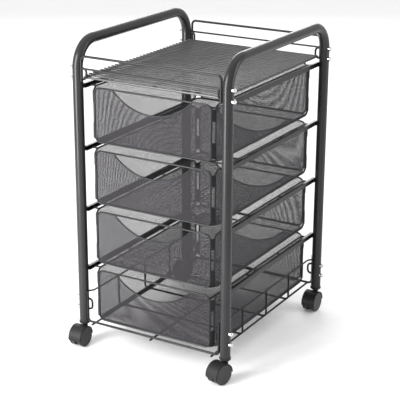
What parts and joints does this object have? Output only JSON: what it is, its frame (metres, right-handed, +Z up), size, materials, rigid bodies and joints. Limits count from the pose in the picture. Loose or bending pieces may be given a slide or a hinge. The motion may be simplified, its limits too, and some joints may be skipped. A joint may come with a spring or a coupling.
{
  "type": "wire shelf cart",
  "caption": "Rolling wire cart: tube side frames, fenced wire top shelf, mesh drawers that slide on rails, wire bottom basket and twin-wheel swivel casters.",
  "frame": {"origin": "on the floor, in the middle of the four legs", "axes": "+Z up, -Y is the front where the drawers slide out, +X to the right seen from the front"},
  "size_m": [0.3856, 0.4827, 0.676],
  "materials": {
    "tube_paint": "semi-gloss powder coat",
    "rail_paint": "satin powder coat",
    "wire_paint": "satin powder coat",
    "mesh_paint": "satin powder coat",
    "bright_cap": "bright plated",
    "socket_plastic": "moulded",
    "caster_plastic": "fine moulded grain",
    "wheel_plastic": "fine moulded grain",
    "black_steel": "black oxide, oiled",
    "plain_steel": "drawn steel"
  },
  "bodies": {
    "cart_frame": {"side_frame_left": "tube_paint", "side_frame_right": "tube_paint", "rails_left": "rail_paint", "rails_right": "rail_paint", "top_shelf": "wire_paint", "front_fence": "wire_paint", "back_fence": "wire_paint", "bottom_basket": "wire_paint", "u_bolts": "wire_paint", "cap_nuts": "bright_cap", "leg_sockets": "socket_plastic"},
    "drawer_1": {"drawer_1_front_panel": "mesh_paint", "drawer_1_back_panel": "mesh_paint", "drawer_1_left_panel": "mesh_paint", "drawer_1_right_panel": "mesh_paint", "drawer_1_bottom_panel": "mesh_paint", "drawer_1_clips": "wire_paint", "drawer_1_runners": "wire_paint"},
    "drawer_2": {"drawer_2_front_panel": "mesh_paint", "drawer_2_back_panel": "mesh_paint", "drawer_2_left_panel": "mesh_paint", "drawer_2_right_panel": "mesh_paint", "drawer_2_bottom_panel": "mesh_paint", "drawer_2_clips": "wire_paint", "drawer_2_runners": "wire_paint"},
    "drawer_3": {"drawer_3_front_panel": "mesh_paint", "drawer_3_back_panel": "mesh_paint", "drawer_3_left_panel": "mesh_paint", "drawer_3_right_panel": "mesh_paint", "drawer_3_bottom_panel": "mesh_paint", "drawer_3_clips": "wire_paint", "drawer_3_runners": "wire_paint"},
    "drawer_4": {"drawer_4_front_panel": "mesh_paint", "drawer_4_back_panel": "mesh_paint", "drawer_4_left_panel": "mesh_paint", "drawer_4_right_panel": "mesh_paint", "drawer_4_bottom_panel": "mesh_paint", "drawer_4_clips": "wire_paint", "drawer_4_runners": "wire_paint"},
    "caster_front_left": {"caster_front_left_housing": "caster_plastic", "caster_front_left_stem": "black_steel", "caster_front_left_axle": "plain_steel"},
    "caster_front_left_wheel_left": {"caster_front_left_wheel_left": "wheel_plastic"},
    "caster_front_left_wheel_right": {"caster_front_left_wheel_right": "wheel_plastic"},
    "caster_front_right": {"caster_front_right_housing": "caster_plastic", "caster_front_right_stem": "black_steel", "caster_front_right_axle": "plain_steel"},
    "caster_front_right_wheel_left": {"caster_front_right_wheel_left": "wheel_plastic"},
    "caster_front_right_wheel_right": {"caster_front_right_wheel_right": "wheel_plastic"},
    "caster_back_left": {"caster_back_left_housing": "caster_plastic", "caster_back_left_stem": "black_steel", "caster_back_left_axle": "plain_steel"},
    "caster_back_left_wheel_left": {"caster_back_left_wheel_left": "wheel_plastic"},
    "caster_back_left_wheel_right": {"caster_back_left_wheel_right": "wheel_plastic"},
    "caster_back_right": {"caster_back_right_housing": "caster_plastic", "caster_back_right_stem": "black_steel", "caster_back_right_axle": "plain_steel"},
    "caster_back_right_wheel_left": {"caster_back_right_wheel_left": "wheel_plastic"},
    "caster_back_right_wheel_right": {"caster_back_right_wheel_right": "wheel_plastic"}
  },
  "joints": [
    {"name": "drawer_1_slide", "type": "slide", "parent": "cart_frame", "child": "drawer_1", "axis": [0, -1, 0], "range_m": [0, 0.33]},
    {"name": "drawer_2_slide", "type": "slide", "parent": "cart_frame", "child": "drawer_2", "axis": [0, -1, 0], "range_m": [0, 0.33]},
    {"name": "drawer_3_slide", "type": "slide", "parent": "cart_frame", "child": "drawer_3", "axis": [0, -1, 0], "range_m": [0, 0.33]},
    {"name": "drawer_4_slide", "type": "slide", "parent": "cart_frame", "child": "drawer_4", "axis": [0, -1, 0], "range_m": [0, 0.33]},
    {"name": "caster_front_left_swivel", "type": "hinge", "parent": "cart_frame", "child": "caster_front_left", "pos_m": [-0.175, -0.2135, 0.047], "axis": [0, 0, 1], "continuous": true},
    {"name": "caster_front_left_wheel_left_spin", "type": "hinge", "parent": "caster_front_left", "child": "caster_front_left_wheel_left", "pos_m": [-0.175, -0.2305, 0.0222], "axis": [1, 0, 0], "continuous": true},
    {"name": "caster_front_left_wheel_right_spin", "type": "hinge", "parent": "caster_front_left", "child": "caster_front_left_wheel_right", "pos_m": [-0.175, -0.2305, 0.0222], "axis": [1, 0, 0], "continuous": true},
    {"name": "caster_front_right_swivel", "type": "hinge", "parent": "cart_frame", "child": "caster_front_right", "pos_m": [0.175, -0.2135, 0.047], "axis": [0, 0, 1], "continuous": true},
    {"name": "caster_front_right_wheel_left_spin", "type": "hinge", "parent": "caster_front_right", "child": "caster_front_right_wheel_left", "pos_m": [0.17074, -0.22996, 0.0222], "axis": [0.9681, -0.2504, 0], "continuous": true},
    {"name": "caster_front_right_wheel_right_spin", "type": "hinge", "parent": "caster_front_right", "child": "caster_front_right_wheel_right", "pos_m": [0.17074, -0.22996, 0.0222], "axis": [0.9681, -0.2504, 0], "continuous": true},
    {"name": "caster_back_left_swivel", "type": "hinge", "parent": "cart_frame", "child": "caster_back_left", "pos_m": [-0.175, 0.2135, 0.047], "axis": [0, 0, 1], "continuous": true},
    {"name": "caster_back_left_wheel_left_spin", "type": "hinge", "parent": "caster_back_left", "child": "caster_back_left_wheel_left", "pos_m": [-0.175, 0.1965, 0.0222], "axis": [1, 0, 0], "continuous": true},
    {"name": "caster_back_left_wheel_right_spin", "type": "hinge", "parent": "caster_back_left", "child": "caster_back_left_wheel_right", "pos_m": [-0.175, 0.1965, 0.0222], "axis": [1, 0, 0], "continuous": true},
    {"name": "caster_back_right_swivel", "type": "hinge", "parent": "cart_frame", "child": "caster_back_right", "pos_m": [0.175, 0.2135, 0.047], "axis": [0, 0, 1], "continuous": true},
    {"name": "caster_back_right_wheel_left_spin", "type": "hinge", "parent": "caster_back_right", "child": "caster_back_right_wheel_left", "pos_m": [0.175, 0.1965, 0.0222], "axis": [1, 0, 0], "continuous": true},
    {"name": "caster_back_right_wheel_right_spin", "type": "hinge", "parent": "caster_back_right", "child": "caster_back_right_wheel_right", "pos_m": [0.175, 0.1965, 0.0222], "axis": [1, 0, 0], "continuous": true}
  ]
}
